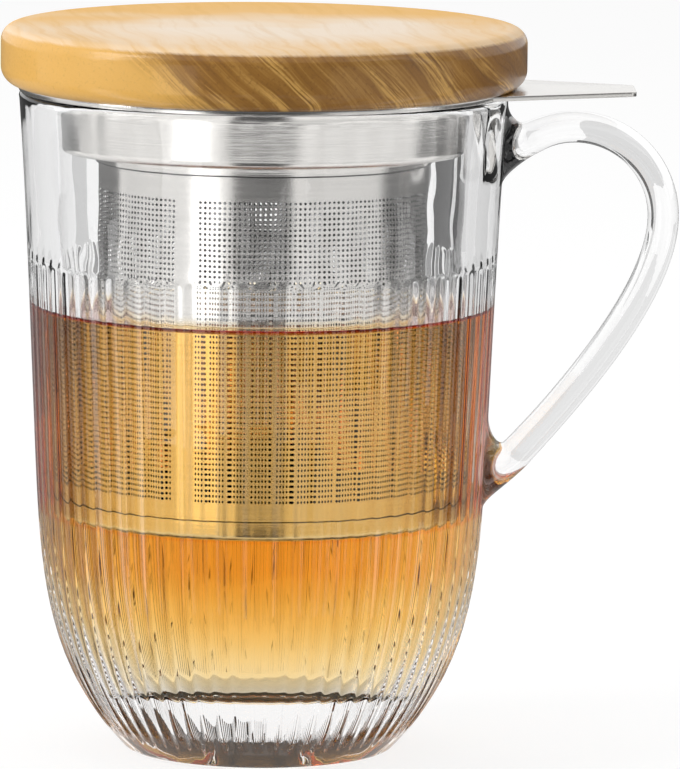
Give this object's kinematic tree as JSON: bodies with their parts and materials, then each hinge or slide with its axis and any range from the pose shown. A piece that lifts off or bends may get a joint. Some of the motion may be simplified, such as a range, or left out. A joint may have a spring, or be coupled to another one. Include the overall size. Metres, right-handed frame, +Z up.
{
  "type": "lidded tea mug with infuser",
  "caption": "Pressed-glass tea mug with fused glass handle, lift-out steel infuser basket with lifting tab, and turned wooden lid with silicone seal.",
  "frame": {"origin": "on the mug's axis, at the middle of the flat foot", "axes": "+Z up along the mug's axis; +X towards the handle and the lifting tab"},
  "size_m": [0.1221, 0.0944, 0.1313],
  "materials": {
    "mug_glass": "clear pressed glass",
    "handle_glass": "clear glass",
    "rim_plate_steel": "fine brushed",
    "collar_steel": "satin, drawn",
    "sleeve_steel": "satin, etched holes",
    "base_ring_steel": "satin, pressed",
    "lid_wood": "oiled, turned",
    "seal_silicone": "matte translucent silicone"
  },
  "bodies": {
    "mug": {"mug_body": "mug_glass", "mug_handle": "handle_glass"},
    "infuser": {"infuser_rim_plate": "rim_plate_steel", "infuser_collar": "collar_steel", "infuser_sleeve": "sleeve_steel", "infuser_base_ring": "base_ring_steel", "infuser_floor": "sleeve_steel"},
    "lid": {"lid_disc": "lid_wood", "lid_seal": "seal_silicone"}
  },
  "joints": [
    {"name": "infuser_lift", "type": "slide", "parent": "mug", "child": "infuser", "axis": [0, 0, 1], "range_m": [0, 0.09]},
    {"name": "lid_lift", "type": "slide", "parent": "infuser", "child": "lid", "axis": [0, 0, 1], "range_m": [0, 0.04]}
  ]
}
